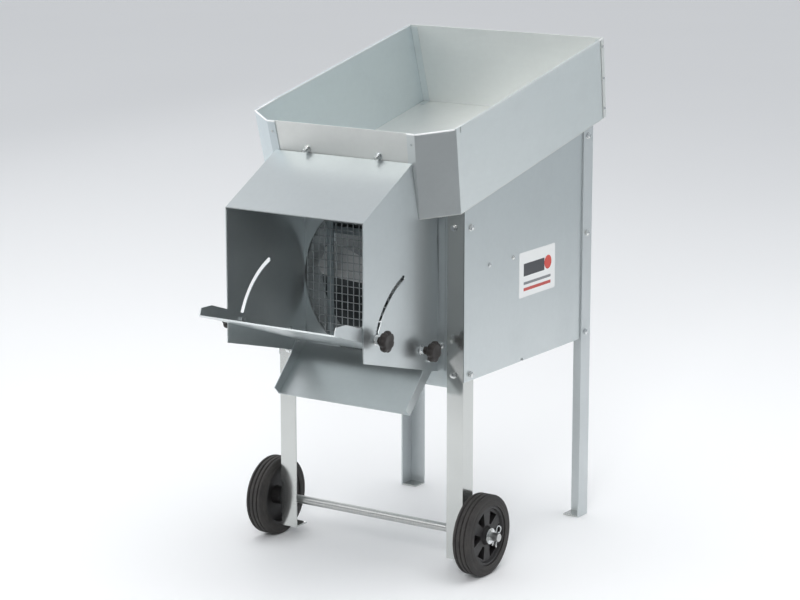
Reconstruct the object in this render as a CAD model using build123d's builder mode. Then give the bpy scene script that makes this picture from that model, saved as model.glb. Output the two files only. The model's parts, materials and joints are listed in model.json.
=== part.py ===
from build123d import *
import os
from math import atan2, cos, radians, sin, tan

os.makedirs("parts", exist_ok=True)

# A small winnower for fruit. X is its width (+X is its right side), -Y its front, Z up, in millimetres.
# Places along the machine are given as a distance behind the front legs' face, which is at Y = FRONT.
FRONT = -93.1
SHEET = 1.5
GAP = 0.3

# Legs of angle section, and the box between them
LEG, LEG_T = 35.0, 3.0
FRONT_LEG_FOOT, REAR_LEG_BACK = 25.0, 462.0
LEG_BOLT_Z = [(376.0, 649.0), (376.0, 573.0, 764.0)]
LEG_BOLT_IN = [21.0, 22.0]
BOX_HALF = 207.4
BOX_BACK = REAR_LEG_BACK - LEG_T
BOX_BOTTOM = 364.0
PANEL_IN = BOX_HALF - SHEET
PLATE_HALF = 202.5
PLATE_FACE = LEG_T
LIP = 13.0

# Hopper, tilted about X: s runs up the slope to the rear, n is square to its floor
TILT = 12.0
FLOOR_Z = 684.0
HOP_FRONT, HOP_REAR, HOP_DEPTH = -61.5, 519.0, 161.3
HOP_HALF, HOP_FLARE = 211.0, 10.0
CORNER_X, CORNER_S, LAP = 60.0, 44.5, 17.0
OUTLET_HALF, OUTLET_S = 142.0, (-54.0, -7.0)
RIM = 12.0
GATE_HALF, GATE_BOLT_X, GATE_BOLT_N = 138.0, 78.0, 112.0
GATE_DOWN, GATE_UP = 20.0, 30.0

# Hood, with the flap that pivots in it
HOOD_HALF = 149.2
HOOD_FRONT, HOOD_LOW, HOOD_TOP, HOOD_SLOPE = -238.0, 440.0, 690.0, 28.5
HOOD_FLANGE, HOOD_FLANGE_LOW = 165.0, 380.0
HEM, HEM_T, HEM_SHORT = 12.0, 0.8, (8.0, 4.0)
PIVOT_Y, PIVOT_Z = -52.0, 429.0
SLOT_R, SLOT_W, STUD_ANGLE, FLAP_SWING = 155.0, 9.0, 17.5, 50.0
FLAP_Y, FLAP_Z, FLAP_SLOPE, FLAP_LENGTH = -40.0, 410.0, 18.7, 298.5
FLAP_HALF, CHEEK = 146.5, 24.0
STUD_R, RUNNING = 4.0, 0.06

# Fruit chute
CHUTE_HALF = 147.2
CHUTE_REAR, CHUTE_FRONT = (0.5, 395.0), (-86.0, 313.0)

# Fan, its guard and motor
FAN_Z, OPENING_R = 527.0, 148.0
WIRE_R, MESH_X, MESH_Z, MESH_R = 1.0, 13.0, 15.0, 155.0
STAY_X, STAY_W = 95.0, 15.0
SHROUD_R, SHROUD_BACK = 150.0, 62.0
HUB_R, HUB_FRONT, HUB_BACK = 37.0, 22.0, 56.0
BLADES, BLADE_TIP, BLADE_LEAD = 4, 136.0, -12.0
SHAFT_R, MOTOR_R, MOTOR_FRONT, MOTOR_BACK = 7.0, 56.0, 78.0, 182.0
CAP = 12.0
SHELF_Z, SHELF_Y, SHELF_DROP = 598.0, (70.0, 186.0), 44.0
INTAKE_R = 118.0

# Wheels and axle
AXLE_Y, WHEEL_R, AXLE_R, AXLE_HALF = 20.6, 76.2, 8.0, 273.0
WHEEL_IN, WHEEL_OUT, TYRE_IN = 216.3, 252.3, 56.0
PIN_X, PIN_R = 263.0, 1.4

# Switch box on the left side
SWITCH_Y, SWITCH_Z, SWITCH_W, SWITCH_H, SWITCH_D = 300.0, 540.0, 80.0, 120.0, 38.0
BUTTON_R, BUTTON_STEP = 11.5, 26.0

BOLT_R, HOLE_R, SCREW_HOLE_R = 3.0, 3.2, 2.2

c, s_ = cos(radians(TILT)), sin(radians(TILT))
HOPPER = Plane(origin=(0, FRONT, FLOOR_Z), x_dir=(1, 0, 0), z_dir=(0, -s_, c))
FLOOR_FALL = SHEET / c


def save(piece, name):
    piece.part.label = name
    export_step(piece.part, f"parts/{name}.step")


def facing(y):
    """Plane across the machine at y behind the front face: local x is X, y is Z, extrudes to the front."""
    return Plane(origin=(0, FRONT + y, 0), x_dir=(1, 0, 0), z_dir=(0, -1, 0))


def across(points):
    """Side-view points (y behind the front face, z) as local points of Plane.YZ."""
    return [(FRONT + y, z) for y, z in points]


def hopper_point(s, n):
    """Side-view point of the hopper's own s and n."""
    return (s * c - n * s_, FLOOR_Z + s * s_ + n * c)


def floor_under(y):
    return FLOOR_Z + y * tan(radians(TILT)) - FLOOR_FALL


def flap_point(along, up):
    a = radians(FLAP_SLOPE)
    return (FLAP_Y - along * cos(a) + up * sin(a), FLAP_Z + along * sin(a) + up * cos(a))


def polar(angle, radius):
    return (radius * cos(radians(angle)), radius * sin(radians(angle)))


def stud_place(turn=0.0):
    y, z = polar(180 - STUD_ANGLE - turn, SLOT_R)
    return (PIVOT_Y + y, PIVOT_Z + z)


STUDS = [(PIVOT_Y, PIVOT_Z), stud_place()]


# ---------- legs ----------
def leg(side, rear):
    outer = BOX_HALF + LEG_T if rear else PANEL_IN
    back = 1 if rear else 0
    foot = 0.0 if rear else FRONT_LEG_FOOT
    y0 = FRONT + (REAR_LEG_BACK if rear else 0.0)
    inward = -1 if rear else 1
    section = [(0, 0), (LEG, 0), (LEG, LEG_T), (LEG_T, LEG_T), (LEG_T, LEG), (0, LEG)]
    with BuildPart() as angle:
        with BuildSketch(Plane.XY.offset(foot)):
            Polygon(*[(side * (outer - u), y0 + inward * v) for u, v in section], align=None)
        extrude(amount=FLOOR_Z + REAR_LEG_BACK / 2 - foot)
        split(bisect_by=HOPPER.offset(-SHEET - GAP), keep=Keep.BOTTOM)
        for z in LEG_BOLT_Z[back]:
            with BuildSketch(Plane.YZ.offset(side * outer)):
                with Locations((y0 + inward * LEG_BOLT_IN[back], z)):
                    Circle(HOLE_R)
            extrude(amount=-side * LEG_T, mode=Mode.SUBTRACT)
            with BuildSketch(facing(y0 - FRONT)):
                with Locations((side * (outer - LEG_BOLT_IN[back]), z)):
                    Circle(HOLE_R)
            extrude(amount=LEG_T, both=True, mode=Mode.SUBTRACT)
        if not rear:
            with BuildSketch(Plane.YZ.offset(side * outer)):
                with Locations((FRONT + AXLE_Y, WHEEL_R)):
                    Circle(AXLE_R + RUNNING)
            extrude(amount=-side * LEG_T, mode=Mode.SUBTRACT)
    return angle


for side, hand in ((1, "right"), (-1, "left")):
    save(leg(side, False), f"leg_front_{hand}")
    save(leg(side, True), f"leg_rear_{hand}")

with BuildPart() as foot_plates:
    inside = LEG - LEG_T
    for side in (1, -1):
        for x, y, z in (
            (PANEL_IN - LEG_T - inside / 2, LEG_T + inside / 2, FRONT_LEG_FOOT),
            (BOX_HALF - inside / 2, BOX_BACK - inside / 2, 0.0),
        ):
            with BuildSketch(Plane.XY.offset(z)):
                with Locations((side * x, FRONT + y)):
                    Rectangle(inside, inside)
            extrude(amount=LEG_T)
save(foot_plates, "foot_plates")


# ---------- box ----------
SHELF_SCREW_Y, SHELF_SCREW_Z = (85.6, 169.8), 569.0


def side_panel(side):
    edge = GAP / 6
    outline = [
        (0, BOX_BOTTOM),
        (BOX_BACK, BOX_BOTTOM),
        (BOX_BACK, floor_under(BOX_BACK) - edge),
        (0, floor_under(0) - edge),
    ]
    holes = [(LEG_BOLT_IN[0], z) for z in LEG_BOLT_Z[0]]
    holes += [(REAR_LEG_BACK - LEG_BOLT_IN[1], z) for z in LEG_BOLT_Z[1]]
    with BuildPart() as panel:
        with BuildSketch(Plane.YZ.offset(side * PANEL_IN)):
            Polygon(*across(outline), align=None)
            with Locations(*across(holes)):
                Circle(HOLE_R, mode=Mode.SUBTRACT)
            with Locations(*across([(y, SHELF_SCREW_Z) for y in SHELF_SCREW_Y])):
                Circle(SCREW_HOLE_R, mode=Mode.SUBTRACT)
            with Locations(*across([(205.0, BOX_BOTTOM)])):
                Rectangle(8, 10, mode=Mode.SUBTRACT)
        extrude(amount=side * SHEET)
    return panel


save(side_panel(1), "side_panel_right")
save(side_panel(-1), "side_panel_left")

HOOD_BOLTS = [(side * 157.5, z) for side in (1, -1) for z in (428.0, 670.0)]
FRONT_LEG_BOLTS = [(side * (PANEL_IN - LEG_BOLT_IN[0]), z) for side in (1, -1) for z in LEG_BOLT_Z[0]]
REAR_LEG_BOLTS = [
    (side * (BOX_HALF + LEG_T - LEG_BOLT_IN[1]), z) for side in (1, -1) for z in LEG_BOLT_Z[1]
]

with BuildPart() as front_plate:
    height = floor_under(PLATE_FACE) - GAP - BOX_BOTTOM
    with BuildSketch(facing(PLATE_FACE + SHEET)):
        with Locations((0, BOX_BOTTOM + height / 2)):
            Rectangle(2 * PLATE_HALF, height)
        with Locations((0, FAN_Z)):
            Circle(OPENING_R, mode=Mode.SUBTRACT)
        with Locations(*HOOD_BOLTS, *FRONT_LEG_BOLTS):
            Circle(HOLE_R, mode=Mode.SUBTRACT)
    extrude(amount=SHEET)
save(front_plate, "front_plate")

with BuildPart() as rear_panel:
    height = floor_under(BOX_BACK - SHEET) - GAP - BOX_BOTTOM
    with BuildSketch(facing(BOX_BACK)):
        with Locations((0, BOX_BOTTOM + height / 2)):
            Rectangle(2 * PANEL_IN, height)
        with Locations((0, FAN_Z)):
            Circle(INTAKE_R, mode=Mode.SUBTRACT)
        with Locations(*REAR_LEG_BOLTS):
            Circle(HOLE_R, mode=Mode.SUBTRACT)
    extrude(amount=SHEET)
save(rear_panel, "rear_panel")

with BuildPart() as bottom_pan:
    length = BOX_BACK - SHEET - PLATE_FACE
    with BuildSketch(Plane.XY.offset(BOX_BOTTOM - SHEET)):
        with Locations((0, FRONT + PLATE_FACE + length / 2)):
            Rectangle(2 * PLATE_HALF, length)
    extrude(amount=SHEET)
    with BuildSketch(facing(PLATE_FACE + SHEET)):
        with Locations((0, BOX_BOTTOM - SHEET - LIP / 2)):
            Rectangle(2 * PLATE_HALF, LIP)
    extrude(amount=SHEET)
save(bottom_pan, "bottom_pan")


# ---------- hopper ----------
def hopper_side(side):
    top = (HOPPER.x_dir * (side * HOP_FLARE) + HOPPER.z_dir * HOP_DEPTH)
    lap = HOP_FRONT - SHEET
    bend = lap + CORNER_S
    w, t = HOP_HALF, SHEET
    inner = [(w - t, HOP_REAR), (w - t, bend + 0.6 * t), (w - CORNER_X - 0.4 * t, lap + t),
             (w - CORNER_X - LAP, lap + t)]
    outer = [(w - CORNER_X - LAP, lap), (w - CORNER_X, lap), (w, bend), (w, HOP_REAR)]
    with BuildPart() as wall:
        with BuildSketch(HOPPER):
            Polygon(*[(side * x, s) for x, s in outer + inner], align=None)
        extrude(amount=top.length, dir=top.normalized())
        share = 1 - RIM / HOP_DEPTH
        x_rim = side * (w + HOP_FLARE * share + t / 2)
        with BuildSketch(HOPPER.offset(HOP_DEPTH * share)):
            with Locations((x_rim, (bend + HOP_REAR) / 2)):
                Rectangle(t, HOP_REAR - bend - 26)
        extrude(amount=top.length * (1 - share), dir=top.normalized())
    return wall


def flared(half, low=0.0):
    """Trapezium across the hopper, from its floor to its rim, half wide at the floor."""
    top = half + HOP_FLARE
    return [(-half, low), (half, low), (top, HOP_DEPTH), (-top, HOP_DEPTH)]


save(hopper_side(1), "hopper_side_right")
save(hopper_side(-1), "hopper_side_left")


def hopper_facing(s):
    """Plane square to the slope at s: local x is X, local y is n, extrudes to the front."""
    return Plane(origin=HOPPER.from_local_coords((0, s, 0)), x_dir=(1, 0, 0), z_dir=-HOPPER.y_dir)


with BuildPart() as hopper_front:
    with BuildSketch(hopper_facing(HOP_FRONT + SHEET)):
        Polygon(*flared(HOP_HALF - CORNER_X - 2.2), align=None)
        with Locations((GATE_BOLT_X, GATE_BOLT_N), (-GATE_BOLT_X, GATE_BOLT_N)):
            Circle(HOLE_R, mode=Mode.SUBTRACT)
    extrude(amount=SHEET)
save(hopper_front, "hopper_front")

with BuildPart() as hopper_back:
    with BuildSketch(hopper_facing(HOP_REAR + SHEET)):
        Polygon(*flared(HOP_HALF + SHEET), align=None)
    extrude(amount=SHEET)
    for side in (1, -1):
        lean = HOPPER.x_dir * (side * HOP_FLARE) + HOPPER.z_dir * HOP_DEPTH
        with BuildSketch(HOPPER):
            with Locations((side * (HOP_HALF + SHEET / 2 + 0.05), HOP_REAR - 4.5)):
                Rectangle(SHEET - 0.1, 9)
        extrude(amount=lean.length, dir=lean.normalized())
save(hopper_back, "hopper_back")

with BuildPart() as hopper_floor:
    lap = HOP_FRONT - SHEET
    with BuildSketch(HOPPER):
        Polygon(
            (HOP_HALF, HOP_REAR + SHEET), (-HOP_HALF, HOP_REAR + SHEET),
            (-HOP_HALF, lap + CORNER_S), (-HOP_HALF + CORNER_X, lap),
            (HOP_HALF - CORNER_X, lap), (HOP_HALF, lap + CORNER_S),
            align=None,
        )
        with Locations((0, sum(OUTLET_S) / 2)):
            Rectangle(2 * OUTLET_HALF, OUTLET_S[1] - OUTLET_S[0], mode=Mode.SUBTRACT)
    extrude(amount=-SHEET)
save(hopper_floor, "hopper_floor")

with BuildPart() as hopper_rivets:
    for side in (1, -1):
        lean = HOPPER.x_dir * (side * HOP_DEPTH) - HOPPER.z_dir * HOP_FLARE
        for share in (0.12, 0.5, 0.9):
            x = side * (HOP_HALF + SHEET + HOP_FLARE * share)
            head = HOPPER.from_local_coords((x, HOP_REAR - 4.5, HOP_DEPTH * share))
            with BuildSketch(Plane(origin=head, z_dir=lean)):
                Circle(3.2)
            extrude(amount=1.3)
save(hopper_rivets, "hopper_rivets")

with BuildPart() as feed_gate:
    near = HOP_FRONT + SHEET + GAP
    face = near + SHEET
    profile = [(near, 70), (near, 141), (face, 141), (face, 71.2), (-10.5, 46.2), (-10.5, 25),
               (-12, 25), (-12, 45)]
    with BuildSketch(Plane(origin=HOPPER.origin, x_dir=HOPPER.y_dir, z_dir=(1, 0, 0))):
        Polygon(*profile, align=None)
    extrude(amount=GATE_HALF, both=True)
    slot = GATE_UP + GATE_DOWN + 2 * HOLE_R
    with BuildSketch(hopper_facing(face)):
        with Locations(*[(x, GATE_BOLT_N + (GATE_DOWN - GATE_UP) / 2) for x in (GATE_BOLT_X, -GATE_BOLT_X)]):
            SlotOverall(slot, 2 * HOLE_R, rotation=90)
    extrude(amount=2 * SHEET, mode=Mode.SUBTRACT)
save(feed_gate, "feed_gate")

with BuildPart() as gate_bolts:
    for x in (GATE_BOLT_X, -GATE_BOLT_X):
        wall = hopper_facing(HOP_FRONT)
        inside = HOP_FRONT + 2 * SHEET + 2 * GAP
        clamp = hopper_facing(inside + SHEET + SHEET)
        for plane, radius, length, sides in (
            (wall, 7.5, 1.2, 0),
            (wall.offset(1.2), 5.8, 5.0, 6),
            (hopper_facing(inside + 3), BOLT_R, 3 + inside - HOP_FRONT + 13, 0),
            (clamp, 8.0, SHEET, 0),
            (hopper_facing(inside + 2 * SHEET + 4), 5.8, 4.0, 6),
        ):
            with BuildSketch(plane):
                with Locations((x, GATE_BOLT_N)):
                    if sides:
                        RegularPolygon(radius, sides)
                    else:
                        Circle(radius)
            extrude(amount=length)
save(gate_bolts, "gate_bolts")


# ---------- hood ----------
def roof_z(y):
    return HOOD_TOP + (y - HOOD_FRONT) * tan(radians(HOOD_SLOPE))


hood_back = HOP_FRONT - SHEET - GAP
hood_under = -SHEET - 2 * GAP
fall = tan(radians(HOOD_SLOPE))
roof_n = (roof_z(hood_back * c) - FLOOR_Z - hood_back * s_) / (c + s_ * fall)
roof_end = hopper_point(hood_back, roof_n)
HOOD_OUTLINE = [
    (HOOD_FRONT, HOOD_LOW), (-35, 387), (PLATE_FACE, 378),
    (PLATE_FACE, floor_under(PLATE_FACE) - 2 * GAP),
    hopper_point(hood_back, hood_under), roof_end, (HOOD_FRONT, HOOD_TOP),
]
CHUTE_BOLTS = [(-14.0, 412.0), (-27.0, 405.0)]

with BuildPart() as hood_shell:
    for side in (1, -1):
        with BuildSketch(Plane.YZ.offset(side * HOOD_HALF)):
            Polygon(*across(HOOD_OUTLINE), align=None)
            middle = Edge.make_circle(
                SLOT_R, Plane((FRONT + PIVOT_Y, PIVOT_Z, 0)),
                180 - STUD_ANGLE - FLAP_SWING, 180 - STUD_ANGLE,
            )
            SlotArc(middle, SLOT_W, mode=Mode.SUBTRACT)
            with Locations(*across([(PIVOT_Y, PIVOT_Z)])):
                Circle(STUD_R + RUNNING, mode=Mode.SUBTRACT)
            with Locations(*across(CHUTE_BOLTS)):
                Circle(HOLE_R, mode=Mode.SUBTRACT)
        extrude(amount=-side * SHEET)
        with BuildSketch(Plane.YZ.offset(side * (HOOD_HALF - SHEET))):
            low, high = HOOD_LOW + HEM_SHORT[0], HOOD_TOP - HEM_SHORT[1]
            hem = [(HOOD_FRONT, low), (HOOD_FRONT + HEM, low), (HOOD_FRONT + HEM, high), (HOOD_FRONT, high)]
            Polygon(*across(hem), align=None)
        extrude(amount=-side * HEM_T)
        with BuildSketch(facing(PLATE_FACE)):
            low, high = HOOD_FLANGE_LOW, floor_under(PLATE_FACE) - 3 * GAP
            width = HOOD_FLANGE - HOOD_HALF + SHEET
            with Locations((side * (HOOD_FLANGE - width / 2), (low + high) / 2)):
                Rectangle(width, high - low)
            with Locations(*HOOD_BOLTS):
                Circle(HOLE_R, mode=Mode.SUBTRACT)
        extrude(amount=SHEET)
    with BuildSketch(Plane.YZ):
        drop = SHEET / cos(radians(HOOD_SLOPE))
        under = hopper_point(hood_back, roof_n - SHEET)
        roof = [(HOOD_FRONT, HOOD_TOP - drop), under, roof_end, (HOOD_FRONT, HOOD_TOP)]
        Polygon(*across(roof), align=None)
    extrude(amount=HOOD_HALF, both=True)
save(hood_shell, "hood_shell")


# ---------- chute ----------
with BuildPart() as chute:
    slope = atan2(CHUTE_REAR[1] - CHUTE_FRONT[1], CHUTE_REAR[0] - CHUTE_FRONT[0])
    up = (-sin(slope), cos(slope))
    lifted = [(y + SHEET * up[0], z + SHEET * up[1]) for y, z in (CHUTE_REAR, CHUTE_FRONT)]
    with BuildSketch(Plane.YZ):
        Polygon(*across([CHUTE_FRONT, CHUTE_REAR] + lifted), align=None)
    extrude(amount=CHUTE_HALF, both=True)
    nose = (CHUTE_FRONT[0] + 20 * up[0], CHUTE_FRONT[1] + 20 * up[1])
    cheek = [CHUTE_FRONT, CHUTE_REAR, (0.5, 428), (-26, 428), (-34, 404), (-46, 383), nose]
    for side in (1, -1):
        with BuildSketch(Plane.YZ.offset(side * CHUTE_HALF)):
            Polygon(*across(cheek), align=None)
            with Locations(*across(CHUTE_BOLTS)):
                Circle(HOLE_R, mode=Mode.SUBTRACT)
        extrude(amount=-side * SHEET)
save(chute, "chute")


def bolt_group(spots, head=5.6, washer=6.6, rise=4.0, radius=BOLT_R):
    """Hex bolts with washer and nut. Each spot is (surface point, outward axis, thickness held)."""
    with BuildPart() as group:
        for origin, axis, grip in spots:
            face = Plane(origin=origin, z_dir=axis)
            for plane, size, length, sides in (
                (face, washer, 1.0, 0),
                (face.offset(1.0), head, rise, 6),
                (face, radius, -(grip + 6.5), 0),
                (face.offset(-grip), head, -4.5, 6),
            ):
                with BuildSketch(plane):
                    if sides:
                        RegularPolygon(size, sides)
                    else:
                        Circle(size)
                extrude(amount=length)
    return group


leg_spots = [((x, FRONT, z), (0, -1, 0), LEG_T + SHEET) for x, z in FRONT_LEG_BOLTS]
leg_spots += [((x, FRONT + REAR_LEG_BACK, z), (0, 1, 0), LEG_T + SHEET) for x, z in REAR_LEG_BOLTS]
for side in (1, -1):
    for z in LEG_BOLT_Z[0]:
        leg_spots.append(((side * BOX_HALF, FRONT + LEG_BOLT_IN[0], z), (side, 0, 0), LEG_T + SHEET))
    for z in LEG_BOLT_Z[1]:
        place = (side * (BOX_HALF + LEG_T), FRONT + REAR_LEG_BACK - LEG_BOLT_IN[1], z)
        leg_spots.append((place, (side, 0, 0), LEG_T + SHEET))
save(bolt_group(leg_spots), "leg_bolts")
save(bolt_group([((x, FRONT + PLATE_FACE - SHEET, z), (0, -1, 0), 2 * SHEET) for x, z in HOOD_BOLTS]),
     "hood_bolts")
chute_spots = [
    ((side * HOOD_HALF, FRONT + y, z), (side, 0, 0), HOOD_HALF - CHUTE_HALF + SHEET)
    for side in (1, -1) for y, z in CHUTE_BOLTS
]
save(bolt_group(chute_spots, head=4.4, washer=5.0, rise=3.0), "chute_bolts")


# ---------- flap ----------
with BuildPart() as flap:
    with BuildSketch(Plane.YZ):
        Polygon(*across([flap_point(a, u) for a, u in (
            (0, 0), (FLAP_LENGTH - 12, 0), (FLAP_LENGTH - 12, -SHEET), (FLAP_LENGTH, -SHEET),
            (FLAP_LENGTH, SHEET), (0, SHEET))]), align=None)
    extrude(amount=FLAP_HALF, both=True)
    cheek = [(2, 0), (FLAP_LENGTH, 0), (FLAP_LENGTH, 15), (FLAP_LENGTH - 29, CHEEK), (8, CHEEK), (2, 18)]
    for side in (1, -1):
        with BuildSketch(Plane.YZ.offset(side * FLAP_HALF)):
            Polygon(*across([flap_point(a, u) for a, u in cheek]), align=None)
            with Locations(*across(STUDS)):
                Circle(STUD_R, mode=Mode.SUBTRACT)
        extrude(amount=-side * SHEET)
save(flap, "flap")

KNOB_OUT = [(34.0, "pivot"), (30.0, "clamp")]
NECK_R, KNOB_R, KNOB_HEAD = 7.5, 20.0, 13.0

with BuildPart() as flap_studs:
    for side in (1, -1):
        for (y, z), (reach, kind) in zip(STUDS, KNOB_OUT):
            end = HOOD_HALF + reach - 6
            for start, length, radius, sides in (
                (FLAP_HALF - SHEET - 4, 4.0, 7.0, 6),
                (FLAP_HALF - SHEET, end - FLAP_HALF + SHEET, STUD_R, 0),
                (HOOD_HALF + GAP, 1.4, 9.5, 0),
                (HOOD_HALF + GAP + 1.4, 5.2, 7.2, 6),
            ):
                with BuildSketch(Plane.YZ.offset(side * start)):
                    with Locations(*across([(y, z)])):
                        if sides:
                            RegularPolygon(radius, sides)
                        else:
                            Circle(radius)
                extrude(amount=side * length)
save(flap_studs, "flap_studs")


def knob(side, place, reach):
    """Lobed clamping knob on a neck, with a blind bore that turns on its stud."""
    out = HOOD_HALF + reach
    neck = HOOD_HALF + GAP + 6.8
    with BuildPart() as piece:
        with BuildSketch(Plane.YZ.offset(side * neck)):
            with Locations(*across([place])):
                Circle(NECK_R)
        extrude(amount=side * (out - KNOB_HEAD - neck))
        with BuildSketch(Plane.YZ.offset(side * (out - KNOB_HEAD))) as lobes:
            with Locations(*across([place])):
                Circle(KNOB_R)
                with PolarLocations(KNOB_R + 3.0, 7):
                    Circle(5.5, mode=Mode.SUBTRACT)
            fillet(lobes.vertices(), 2.0)
        extrude(amount=side * KNOB_HEAD)
        rims = piece.edges().group_by(Axis.X)[-1 if side > 0 else 0]
        fillet(rims, 1.8)
        with BuildSketch(Plane.YZ.offset(side * neck)):
            with Locations(*across([place])):
                Circle(STUD_R + RUNNING)
        extrude(amount=side * (out - 5 - neck), mode=Mode.SUBTRACT)
    return piece


for side, hand in ((1, "right"), (-1, "left")):
    for place, (reach, kind) in zip(STUDS, KNOB_OUT):
        save(knob(side, place, reach), f"{kind}_knob_{hand}")


# ---------- guard, shroud and fan ----------
def disc(radius, y_front, y_back, hole=0.0):
    """A round piece about the fan's axis, bored if a hole radius is given."""
    with BuildPart(mode=Mode.PRIVATE) as piece:
        with BuildSketch(facing(y_back)):
            with Locations((0, FAN_Z)):
                Circle(radius)
                if hole:
                    Circle(hole, mode=Mode.SUBTRACT)
        extrude(amount=y_back - y_front)
    return piece


FIRST_WIRE = PLATE_FACE + SHEET + WIRE_R + 0.02
SECOND_WIRE = FIRST_WIRE + 2 * WIRE_R + 0.04
RING_Y = SECOND_WIRE + WIRE_R + 0.02
STAY_Y = RING_Y + SHEET

with BuildPart() as mesh_guard:
    for step, along in ((MESH_X, 0), (MESH_Z, 1)):
        count = int(MESH_R // step)
        for i in range(-count, count + 1):
            off = i * step
            half = (MESH_R**2 - off**2) ** 0.5 - 1
            if half < 12:
                continue
            y = FRONT + (SECOND_WIRE if along else FIRST_WIRE)
            origin = (-half, y, FAN_Z + off) if along else (off, y, FAN_Z - half)
            with BuildSketch(Plane(origin=origin, z_dir=(1, 0, 0) if along else (0, 0, 1))):
                Circle(WIRE_R)
            extrude(amount=2 * half)
save(mesh_guard, "mesh_guard")

save(disc(MESH_R + 1.5, RING_Y, STAY_Y, SHROUD_R - 0.5), "guard_ring")

with BuildPart() as guard_stays:
    with BuildSketch(facing(STAY_Y + 3)):
        with Locations((STAY_X, FAN_Z), (-STAY_X, FAN_Z)):
            Rectangle(STAY_W, 2 * MESH_R)
    extrude(amount=3)
save(guard_stays, "guard_stays")

save(disc(SHROUD_R + SHEET, STAY_Y + 3, SHROUD_BACK, SHROUD_R), "fan_shroud")

with BuildPart() as fan_wheel:
    with BuildSketch(facing(HUB_BACK)):
        with Locations((0, FAN_Z)):
            Circle(HUB_R)
    extrude(amount=HUB_BACK - HUB_FRONT)
    middle = Vector(0, FRONT + (HUB_FRONT + HUB_BACK) / 2, FAN_Z)
    for i in range(BLADES):
        turn = 360 / BLADES * i + BLADE_LEAD
        radial = Vector(cos(radians(turn)), 0, sin(radians(turn)))
        tangent = Vector(-sin(radians(turn)), 0, cos(radians(turn)))
        for radius, chord, pitch in ((HUB_R - 5, 42, 40), (BLADE_TIP, 62, 26)):
            with BuildSketch(Plane(origin=middle + radial * radius, x_dir=tangent, z_dir=radial)):
                Rectangle(chord, 2.4, rotation=pitch)
        loft()
    fillet(fan_wheel.edges().filter_by(GeomType.CIRCLE).sort_by(Axis.Y)[0], 4)
    with BuildSketch(facing(HUB_BACK)):
        with Locations((0, FAN_Z)):
            Circle(SHAFT_R)
    extrude(amount=HUB_BACK - HUB_FRONT, mode=Mode.SUBTRACT)
save(fan_wheel, "fan_wheel")

with BuildPart() as hub_nut:
    for y_back, radius, length, sides in ((HUB_FRONT, 13, 2, 0), (HUB_FRONT - 2, 11, 6, 6)):
        with BuildSketch(facing(y_back)):
            with Locations((0, FAN_Z)):
                if sides:
                    RegularPolygon(radius, sides)
                else:
                    Circle(radius)
                Circle(SHAFT_R, mode=Mode.SUBTRACT)
        extrude(amount=length)
save(hub_nut, "hub_nut")

save(disc(SHAFT_R, 13.0, MOTOR_BACK - 3), "motor_shaft")


# ---------- motor ----------
BODY_FRONT, BODY_BACK = MOTOR_FRONT + CAP, MOTOR_BACK - CAP
FOOT_Z = SHELF_Z - SHEET - 6

with BuildPart() as motor_body:
    with BuildSketch(facing(BODY_BACK)):
        with Locations((0, FAN_Z)):
            Circle(MOTOR_R - 2)
            with PolarLocations(MOTOR_R - 2, 28):
                Rectangle(9, 2.2)
            Circle(MOTOR_R - 7, mode=Mode.SUBTRACT)
        with Locations((0, FAN_Z + MOTOR_R - 6)):
            Rectangle(50, FOOT_Z - FAN_Z - MOTOR_R + 6, align=(Align.CENTER, Align.MIN))
    extrude(amount=BODY_BACK - BODY_FRONT)
save(motor_body, "motor_body")

with BuildPart() as motor_foot:
    with BuildSketch(Plane.XY.offset(FOOT_Z)):
        with Locations((0, FRONT + (BODY_FRONT + BODY_BACK) / 2)):
            Rectangle(110, BODY_BACK - BODY_FRONT)
    extrude(amount=SHELF_Z - SHEET - FOOT_Z)
save(motor_foot, "motor_foot")

for name, y0, y1, seat in (
    ("motor_cap_front", MOTOR_FRONT, BODY_FRONT, MOTOR_FRONT + 3),
    ("motor_cap_rear", BODY_BACK, MOTOR_BACK, BODY_BACK),
):
    with BuildPart() as cap:
        with BuildSketch(facing(y1)):
            with Locations((0, FAN_Z)):
                Circle(MOTOR_R)
                Circle(SHAFT_R + 2, mode=Mode.SUBTRACT)
        extrude(amount=y1 - y0)
        with BuildSketch(facing(seat + 9)):
            with Locations((0, FAN_Z)):
                Circle(16)
        extrude(amount=9, mode=Mode.SUBTRACT)
    save(cap, name)

with BuildPart() as motor_bearings:
    for seat in (MOTOR_FRONT + 3, BODY_BACK):
        with BuildSketch(facing(seat + 9)):
            with Locations((0, FAN_Z)):
                Circle(16)
                Circle(SHAFT_R + RUNNING, mode=Mode.SUBTRACT)
        extrude(amount=9)
save(motor_bearings, "motor_bearings")

save(disc(MOTOR_R - 7, BODY_FRONT + 8, BODY_BACK - 8, 36.5), "motor_stator")
save(disc(36.0, BODY_FRONT + 8, BODY_BACK - 8, SHAFT_R), "motor_rotor")

with BuildPart() as terminal_box:
    with BuildSketch(Plane.XY.offset(FAN_Z - MOTOR_R - 28)):
        with Locations((0, FRONT + (BODY_FRONT + BODY_BACK) / 2)):
            Rectangle(64, 56)
    extrude(amount=25)
    fillet(terminal_box.edges().filter_by(Axis.Z), 5)
save(terminal_box, "terminal_box")

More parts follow.
